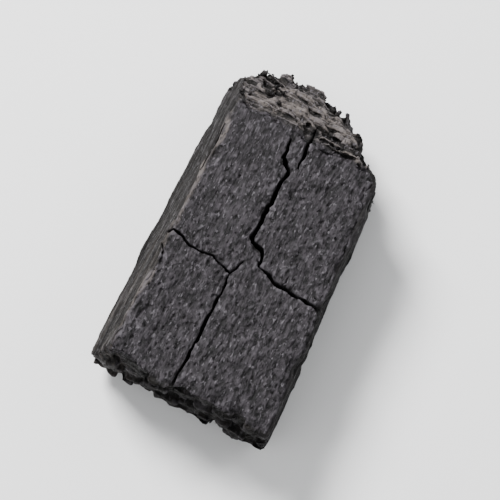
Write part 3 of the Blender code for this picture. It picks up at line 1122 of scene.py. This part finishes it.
    def place(self, lump: bpy.types.Object) -> None:
        """Fits the piece to the box of the solid that it stands for.

        Args:
            lump: The piece.
        """
        low, high = (np.array(corner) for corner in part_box(self.node))
        skin = Skin(lump)
        least, most = skin.points.min(axis=0), skin.points.max(axis=0)
        shift = low - least
        shift[0] = (low[0] + high[0] - least[0] - most[0]) / 2
        points = skin.points + shift
        for axis, rim in enumerate(self.pressed_rims):
            points[:, axis] = pressed(points[:, axis], low[axis], high[axis], rim)
        skin.points = points
        skin.store()
        past = np.maximum(low - least - shift, most + shift - high) / MM
        LOG.info("placed in the solid's box, from at most %s mm outside it", np.round(past, 2))

    def dress(self, lump: bpy.types.Object, char: bpy.types.Material) -> None:
        """Gives the piece its finish, hangs it on the body that it rides on, and hides the solid that it
        stands for.

        Args:
            lump: The piece.
            char: Its material.
        """
        lump.data.materials.clear()
        lump.data.materials.append(char)
        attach(lump, "root")
        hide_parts(self.node)


class NodeTree:
    """Lays out and links the nodes of a material or a node group."""

    def __init__(self, tree: bpy.types.NodeTree) -> None:
        """Starts on a tree.

        Args:
            tree: The tree to add to.
        """
        self.tree = tree
        self.count = 0

    def add(self, kind: str, label: str, **values: object) -> bpy.types.Node:
        """Adds a node.

        Args:
            kind: The node's type.
            label: What it is for.
            values: Settings of the node, or values and links of its inputs by name.

        Returns:
            The node.
        """
        node = self.tree.nodes.new(kind)
        node.label = label
        node.location = (220 * (self.count % 8), -260 * (self.count // 8))
        self.count += 1
        for name, value in values.items():
            if name.startswith("in_"):
                key = name[3:]
                self.feed(node, int(key) if key.isdigit() else key.replace("_", " "), value)
            else:
                setattr(node, name, value)
        return node

    def feed(self, node: bpy.types.Node, key: object, value: object) -> None:
        """Sets an input of a node, or links a socket to it.

        Args:
            node: The node.
            key: The input's number or name.
            value: A number, a colour, a vector or another node's output socket.
        """
        if isinstance(value, Socket):
            self.tree.links.new(value, node.inputs[key])
        else:
            node.inputs[key].default_value = value

    def math(self, operation: str, label: str, *terms: object) -> Socket:
        """Adds a sum or product of numbers.

        Args:
            operation: Which sum or product.
            label: What it is for.
            terms: Its numbers or sockets in turn.

        Returns:
            Its result.
        """
        node = self.add("ShaderNodeMath", label, operation=operation)
        for index, term in enumerate(terms):
            self.feed(node, index, term)
        return node.outputs[0]

    def ramp(self, label: str, value: Socket, low: object, high: object) -> Socket:
        """Adds a soft step of a value, from 0 at low to 1 at high.

        Args:
            label: What it is for.
            value: The value.
            low: Where the step starts.
            high: Where it ends.

        Returns:
            Its result.
        """
        node = self.add("ShaderNodeMapRange", label, interpolation_type="SMOOTHSTEP")
        self.feed(node, "Value", value)
        self.feed(node, "From Min", low)
        self.feed(node, "From Max", high)
        return node.outputs["Result"]

    def mix(self, label: str, share: Socket, first: object, second: object) -> Socket:
        """Adds a mix of two colours.

        Args:
            label: What it is for.
            share: How much the second colour counts.
            first: The first colour.
            second: The second colour.

        Returns:
            The mixed colour.
        """
        node = self.add("ShaderNodeMix", label, data_type="RGBA")
        for index, value in ((0, share), (6, first), (7, second)):
            self.feed(node, index, value)
        return node.outputs[2]


def new_group(name: str, inputs: dict[str, float], outputs: list[str]) -> tuple[NodeTree, object, object]:
    """Starts a node group.

    Args:
        name: The group's name.
        inputs: Its number inputs and their usual values; it also has a Vector input.
        outputs: Its number outputs.

    Returns:
        The tree, and the sockets of its input node and of its output node.
    """
    group = bpy.data.node_groups.new(name, "ShaderNodeTree")
    group.interface.new_socket("Vector", in_out="INPUT", socket_type="NodeSocketVector")
    for key, value in inputs.items():
        socket = group.interface.new_socket(key, in_out="INPUT", socket_type="NodeSocketFloat")
        socket.default_value = value
    for key in outputs:
        group.interface.new_socket(key, in_out="OUTPUT", socket_type="NodeSocketFloat")
    nodes = NodeTree(group)
    source = nodes.add("NodeGroupInput", "in")
    result = nodes.add("NodeGroupOutput", "out")
    return nodes, source.outputs, result.inputs


def stretched(nodes: NodeTree, place: Socket, *sizes: Socket) -> Socket:
    """Scales places so that a texture's features come out at sizes given in millimetres.

    Args:
        nodes: The tree to add to.
        place: The places.
        sizes: How long the features are along X, Y and Z.

    Returns:
        The scaled places.
    """
    size = nodes.add("ShaderNodeCombineXYZ", "size", in_X=sizes[0], in_Y=sizes[1], in_Z=sizes[2])
    metres = nodes.add("ShaderNodeVectorMath", "millimetres", operation="SCALE", in_0=size.outputs[0])
    nodes.feed(metres, "Scale", MM)
    scaled = nodes.add("ShaderNodeVectorMath", "stretch", operation="DIVIDE", in_0=place)
    nodes.feed(scaled, 1, metres.outputs[0])
    return scaled.outputs[0]


def fibre_group() -> bpy.types.NodeTree:
    """Streaks that are long along one axis and thin across it, as bundles of fibres are.

    Returns:
        A group with the streaks' strength as Streak and their finer threads as Thread.
    """
    inputs = {"X size": 1.0, "Y size": 10.0, "Z size": 1.0, "Seed": 0.0}
    nodes, source, result = new_group("fibre grain", inputs, ["Streak", "Thread"])
    place = stretched(nodes, source["Vector"], source["X size"], source["Y size"], source["Z size"])
    for key, scale, detail, roughness in (("Streak", 1.0, 3.0, 0.6), ("Thread", 3.1, 2.0, 0.5)):
        texture = nodes.add("ShaderNodeTexNoise", key.lower(), noise_dimensions="4D", in_Vector=place)
        settings = {"W": source["Seed"], "Scale": scale, "Detail": detail, "Roughness": roughness}
        for name, value in settings.items():
            nodes.feed(texture, name, value)
        nodes.tree.links.new(nodes.ramp(key.lower(), texture.outputs[0], 0.38, 0.62), result[key])
    return nodes.tree


def fleck_group() -> bpy.types.NodeTree:
    """Scattered grains that glint, and the pores between them: the finish paints the grains bright as
    glints and the pores dark as shade.

    Returns:
        A group with the glinting grains as Fleck and the pores as Pore.
    """
    inputs = {"Size": 0.7, "Stretch": 2.1, "Rarity": 0.60}
    nodes, source, result = new_group("flecks and pores", inputs, ["Fleck", "Pore"])
    length = nodes.math("MULTIPLY", "length", source["Size"], source["Stretch"])
    place = stretched(nodes, source["Vector"], source["Size"], length, source["Size"])
    apart = nodes.add("ShaderNodeVectorMath", "elsewhere", operation="ADD", in_0=place, in_1=(31, 17, 53))
    edge = nodes.math("ADD", "edge", source["Rarity"], 0.07)
    for key, where, scale in (("Fleck", place, 1.0), ("Pore", apart.outputs[0], 0.8)):
        texture = nodes.add("ShaderNodeTexNoise", key.lower(), in_Vector=where, in_Scale=scale)
        nodes.feed(texture, "Detail", 2.0)
        spots = nodes.ramp(key.lower(), texture.outputs[0], source["Rarity"], edge)
        nodes.tree.links.new(spots, result[key])
    return nodes.tree


@dataclass(frozen=True)
class Coat:
    """The colour of one kind of surface: its grain's sizes in millimetres, and its two ends of tone."""

    name: str
    sizes: Triple
    seed: float
    thread_share: float
    streak_share: float
    dark: Colour
    light: Colour


@dataclass(frozen=True)
class Grain:
    """The grain of one kind of surface: its streaks, the finer threads in them, and the two together."""

    streak: Socket
    thread: Socket
    both: Socket


@dataclass(frozen=True)
class CharFinish:
    """Dull char: grey-black on the broad face, browner where the wood split or tore, with painted shade,
    highlights and glints.
    """

    face: Coat = Coat(
        "face mottle", (1.5, 3.6, 1.5), 0.0, 0.45, 0.55,
        (0.0014, 0.0013, 0.0015, 1), (0.0370, 0.0328, 0.0372, 1),
    )
    flank: Coat = Coat(
        "flank fibres", (1.6, 18.0, 1.6), 4.0, 0.4, 0.6,
        (0.0025, 0.0021, 0.0019, 1), (0.0108, 0.0096, 0.0093, 1),
    )
    # The broken near end: its own browner colour, made darker still by painted shade.
    broken: Coat = Coat(
        "broken crumbs", (2.6, 2.6, 2.6), 14.0, 0.4, 0.5,
        (0.0016, 0.0015, 0.0014, 1), (0.0085, 0.0070, 0.0062, 1),
    )
    torn: Coat = Coat(
        "torn strands", (9.0, 1.3, 1.3), 9.0, 0.4, 0.6,
        (0.0035, 0.0031, 0.0029, 1), (0.0600, 0.0530, 0.0505, 1),
    )
    bare: Colour = (0.0500, 0.0425, 0.0386, 1)
    # Pale tan: the slivers' own colour, and a painted highlight on the crests of the torn end.
    worn: Colour = (0.1350, 0.1170, 0.1080, 1)
    # Painted glint and highlight: the bright bluish grey that the glinting grains and the high crests are
    # lightened towards.
    fleck: Colour = (0.1050, 0.0970, 0.1080, 1)
    # Painted shade: the near black of the troughs and the pores.
    painted_shade: Colour = (0.0050, 0.0048, 0.0048, 1)
    # Painted shade: the near black inside the cracks.
    crack_shade: Colour = (0.0035, 0.0033, 0.0032, 1)
    roughness: float = 0.60
    specular: float = 0.12
    bump_height: float = 0.16 * MM


class CharMaterial:
    """Lays out the char material of a finish."""

    def __init__(self, finish: CharFinish) -> None:
        """Starts the material, with the masks, the grain and the flecks that the rest is made from.

        Args:
            finish: Its colours, its grain and its gloss.
        """
        self.finish = finish
        self.material = bpy.data.materials.new("char")
        self.material.use_nodes = True
        self.material.node_tree.nodes.clear()
        self.nodes = NodeTree(self.material.node_tree)
        self.shader = self.nodes.add("ShaderNodeBsdfPrincipled", "char")
        surface = self.nodes.add("ShaderNodeOutputMaterial", "surface")
        self.nodes.feed(surface, "Surface", self.shader.outputs[0])
        self.place = self.nodes.add("ShaderNodeTexCoord", "place").outputs["Object"]
        self.masks = {zone: self.mask(zone) for zone in Zone}
        fibres = fibre_group()
        coats = (finish.face, finish.flank, finish.broken, finish.torn)
        self.face, self.flank, self.broken, self.torn = [self.grain(coat, fibres) for coat in coats]
        flecks = self.nodes.add("ShaderNodeGroup", "flecks", node_tree=fleck_group(), in_Vector=self.place)
        self.fleck, self.pore = flecks.outputs["Fleck"], flecks.outputs["Pore"]

    def mask(self, zone: Zone) -> Socket:
        """Reads one of the lump's masks."""
        return self.nodes.add("ShaderNodeAttribute", zone.value, attribute_name=zone.value).outputs["Fac"]

    def grain(self, coat: Coat, fibres: bpy.types.NodeTree) -> Grain:
        """Adds the grain of one kind of surface.

        Args:
            coat: The surface's sizes and shares.
            fibres: The group that makes the grain.

        Returns:
            Its streaks, its threads and the two together.
        """
        node = self.nodes.add("ShaderNodeGroup", coat.name, node_tree=fibres, in_Vector=self.place)
        for key, value in zip(("X size", "Y size", "Z size", "Seed"), (*coat.sizes, coat.seed)):
            self.nodes.feed(node, key, value)
        streak, thread = node.outputs["Streak"], node.outputs["Thread"]
        wide = self.nodes.math("MULTIPLY", "streaks' share", streak, coat.streak_share)
        both = self.nodes.math("MULTIPLY_ADD", coat.name, thread, coat.thread_share, wide)
        return Grain(streak, thread, both)

    def wood(self) -> Socket:
        """Colours each kind of surface by its grain.

        Returns:
            The colour, before the painted highlights, the pale slivers, the painted shade and the painted
            glints.
        """
        finish, nodes = self.finish, self.nodes
        colour = nodes.mix("face", self.face.both, finish.face.dark, finish.face.light)
        for zone, coat, grain in (
            (Zone.FLANK, finish.flank, self.flank),
            (Zone.BROKEN, finish.broken, self.broken),
            (Zone.TORN, finish.torn, self.torn),
        ):
            own = nodes.mix(zone.value, grain.both, coat.dark, coat.light)
            colour = nodes.mix(f"with {zone.value}", self.masks[zone], colour, own)
        strip = nodes.math("MULTIPLY_ADD", "streaks of bare wood", self.flank.streak, 0.55, 0.2)
        strip = nodes.math("MULTIPLY", "bare strip", self.masks[Zone.BARE], strip)
        return nodes.mix("with bare wood", strip, colour, finish.bare)

    def wear(self, colour: Socket) -> Socket:
        """Paints highlights on the crests, and gives the slivers their pale tan.

        Args:
            colour: The colour so far.

        Returns:
            The colour with its painted highlights and pale slivers.
        """
        nodes, crest, torn = self.nodes, self.masks[Zone.CREST], self.masks[Zone.TORN]
        # Painted highlight: the high crests are lightened towards the glint colour, less on the flanks and
        # on the broken end.
        high = nodes.math("MULTIPLY_ADD", "crests show less on flanks", self.masks[Zone.FLANK], -0.3, 0.45)
        high = nodes.math("MULTIPLY_ADD", "and on the broken end", self.masks[Zone.BROKEN], -0.25, high)
        high = nodes.math("MULTIPLY", "high crests", nodes.ramp("crests", crest, 0.2, 1.0), high)
        colour = nodes.mix("crests", high, colour, self.finish.fleck)

        # Painted highlight on the sharpest crests of the torn end, in the pale tan.
        sharp = nodes.math("MULTIPLY", "torn crests", nodes.ramp("sharp crests", crest, 0.55, 1.1), torn)
        sharp = nodes.math("MULTIPLY", "worn crests", sharp, 0.55)
        run = nodes.math("SUBTRACT", "from flank to torn grain", self.torn.both, self.flank.streak)
        run = nodes.math("MULTIPLY_ADD", "grain along the slivers", torn, run, self.flank.streak)
        split = nodes.math("MULTIPLY_ADD", "uneven slivers", run, 0.72, 0.14)
        split = nodes.math("MULTIPLY", "slivers", self.masks[Zone.SLIVER], split)
        strength = nodes.math("MULTIPLY_ADD", "fainter off the torn end", torn, 0.3, 0.7)
        split = nodes.math("MULTIPLY", "worn slivers", split, strength)
        # The pale tan is the slivers' own colour and, on the torn crests, a painted highlight.
        worn = nodes.math("MAXIMUM", "worn wood", sharp, split)
        return nodes.mix("worn", worn, colour, self.finish.worn)

    def painted_shade(self, colour: Socket) -> Socket:
        """Paints shade into the troughs, the pores and the cracks, and glints on the flecks between them.

        Args:
            colour: The colour so far.

        Returns:
            The finished colour.
        """
        finish, nodes = self.finish, self.nodes
        # Painted shade in the troughs of the relief.
        low = nodes.ramp("troughs", self.masks[Zone.CREST], -0.12, -0.85)
        low = nodes.math("MULTIPLY", "low troughs", low, 0.82)
        colour = nodes.mix("troughs", low, colour, finish.painted_shade)
        # Painted glints: the flecks are lightened towards the glint colour, less on the flanks and on the
        # broken end.
        side = nodes.math("MULTIPLY", "flanks' share", self.masks[Zone.FLANK], 0.75)
        end = nodes.math("MULTIPLY", "broken end's share", self.masks[Zone.BROKEN], 0.6)
        plain = nodes.math("SUBTRACT", "off the flanks", 1.0, side)
        plain = nodes.math("SUBTRACT", "and off the broken end", plain, end)
        bright = nodes.math("MULTIPLY", "bright flecks", self.fleck, 0.5)
        bright = nodes.math("MULTIPLY", "flecks on the face", bright, plain)
        colour = nodes.mix("flecks", bright, colour, finish.fleck)
        # Painted shade in the pores.
        dark = nodes.math("MULTIPLY", "dark pores", self.pore, 0.7)
        colour = nodes.mix("pores", dark, colour, finish.painted_shade)
        # Painted shade in the cracks.
        deep = nodes.math("MULTIPLY", "shaded hollows", self.masks[Zone.HOLLOW], 0.9)
        return nodes.mix("hollows", deep, colour, finish.crack_shade)

    def roughness(self) -> Socket:
        """Makes the fine threads duller and the flecks glossier.

        Returns:
            The roughness.
        """
        nodes, usual = self.nodes, self.finish.roughness
        rough = nodes.math("MULTIPLY_ADD", "duller where fine", self.face.thread, 0.16, usual)
        gloss = nodes.math("MULTIPLY", "gloss of the flecks", self.fleck, 0.22)
        return nodes.math("SUBTRACT", "glossy flecks", rough, gloss)

    def bump(self) -> Socket:
        """Adds the relief that is too fine for the skin: threads, pores, flecks and torn hairs.

        Returns:
            The normal.
        """
        nodes = self.nodes
        hairs = nodes.math("MULTIPLY", "torn hairs", self.torn.thread, self.masks[Zone.TORN])
        height = nodes.math("MULTIPLY", "face threads", self.face.thread, 0.6)
        for label, texture, rise in (
            ("flank threads", self.flank.thread, 0.5),
            ("sunk pores", self.pore, -0.8),
            ("raised flecks", self.fleck, 0.5),
            ("raised hairs", hairs, 1.2),
        ):
            height = nodes.math("MULTIPLY_ADD", label, texture, rise, height)
        bump = nodes.add("ShaderNodeBump", "fine bump", in_Strength=0.8, in_Height=height)
        nodes.feed(bump, "Distance", self.finish.bump_height)
        return bump.outputs[0]

    def build(self) -> bpy.types.Material:
        """Finishes the material.

        Returns:
            The char material.
        """
        self.nodes.feed(self.shader, "Base Color", self.painted_shade(self.wear(self.wood())))
        self.nodes.feed(self.shader, "Roughness", self.roughness())
        self.nodes.feed(self.shader, "Normal", self.bump())
        self.shader.inputs["Specular IOR Level"].default_value = self.finish.specular
        LOG.info("finish: %s, %d nodes", self.material.name, len(self.material.node_tree.nodes))
        return self.material


@dataclass
class Studio:
    """A plain pale floor, soft light and the camera."""

    azimuth: float = 25.0
    elevation: float = 70.0
    focal_length: float = 135 * MM
    view_width: float = 128 * MM
    look_at: Triple = (0.0, -2 * MM, 12 * MM)

    def ways(self) -> tuple[Vector, Vector, Vector]:
        """The camera's right and level forward directions, and the way from the lump to the camera.

        Returns:
            The three directions, each of length 1.
        """
        turn, rise = math.radians(self.azimuth), math.radians(self.elevation)
        right = Vector((math.cos(turn), math.sin(turn), 0))
        ahead = Vector((-math.sin(turn), math.cos(turn), 0))
        back = -ahead * math.cos(rise) + Vector((0, 0, math.sin(rise)))
        return right, ahead, back

    def build(self) -> None:
        """Adds the floor, the lights and the camera."""
        self.floor()
        right, ahead, _ = self.ways()
        up = Vector((0, 0, 1))
        self.softbox("key", 0.62 * ahead - 0.42 * right + 0.75 * up, 0.4, 32.0)
        self.softbox("fill", -0.5 * ahead - 0.5 * right + 0.9 * up, 0.9, 4.0)
        self.softbox("side", 0.8 * right + 0.1 * ahead + 0.55 * up, 0.6, 3.0)
        self.sky()
        self.camera()

    def floor(self) -> None:
        """Adds the floor, just under the lump."""
        bpy.ops.object.select_all(action="DESELECT")
        bpy.ops.mesh.primitive_plane_add(size=6.0, location=(0, 0, -0.02 * MM))
        floor = bpy.context.object
        floor.name = "floor"
        material = bpy.data.materials.new("pale floor")
        material.use_nodes = True
        shader = material.node_tree.nodes["Principled BSDF"]
        shader.inputs["Base Color"].default_value = (0.86, 0.86, 0.86, 1)
        shader.inputs["Roughness"].default_value = 0.75
        floor.data.materials.append(material)

    def softbox(self, name: str, place: Vector, size: float, power: float) -> None:
        """Adds a square soft light that faces the lump.

        Args:
            name: The light's name.
            place: Where it stands.
            size: The length of its sides.
            power: Its power in watts.
        """
        light = bpy.data.lights.new(name, "AREA")
        light.size = size
        light.energy = power
        lamp = bpy.data.objects.new(name, light)
        lamp.location = place
        lamp.rotation_euler = (Vector(self.look_at) - place).to_track_quat("-Z", "Y").to_euler()
        bpy.context.scene.collection.objects.link(lamp)

    def sky(self) -> None:
        """Lights the scene evenly from all round."""
        world = bpy.data.worlds.new("studio")
        world.use_nodes = True
        background = world.node_tree.nodes["Background"]
        background.inputs["Color"].default_value = (0.96, 0.98, 1.0, 1)
        background.inputs["Strength"].default_value = 0.5
        bpy.context.scene.world = world

    def camera(self) -> None:
        """Adds the camera at the angle that the lump is seen from."""
        _, _, back = self.ways()
        lens = bpy.data.cameras.new("camera")
        lens.lens = self.focal_length / MM
        away = self.view_width * self.focal_length / (lens.sensor_width * MM)
        eye = bpy.data.objects.new("camera", lens)
        eye.location = Vector(self.look_at) + back * away
        eye.rotation_euler = (-back).to_track_quat("-Z", "Y").to_euler()
        bpy.context.scene.collection.objects.link(eye)
        bpy.context.scene.camera = eye


def main() -> None:
    """Builds the lump, dresses it and sets up the studio."""
    logging.basicConfig(level=logging.INFO, format="%(message)s")
    lump = CharcoalLump()
    piece = lump.build()
    lump.dress(piece, CharMaterial(CharFinish()).build())
    LOG.info("piece: %s, %d points", piece.name, len(piece.data.vertices))
    Studio().build()


if __name__ == "__main__":
    main()
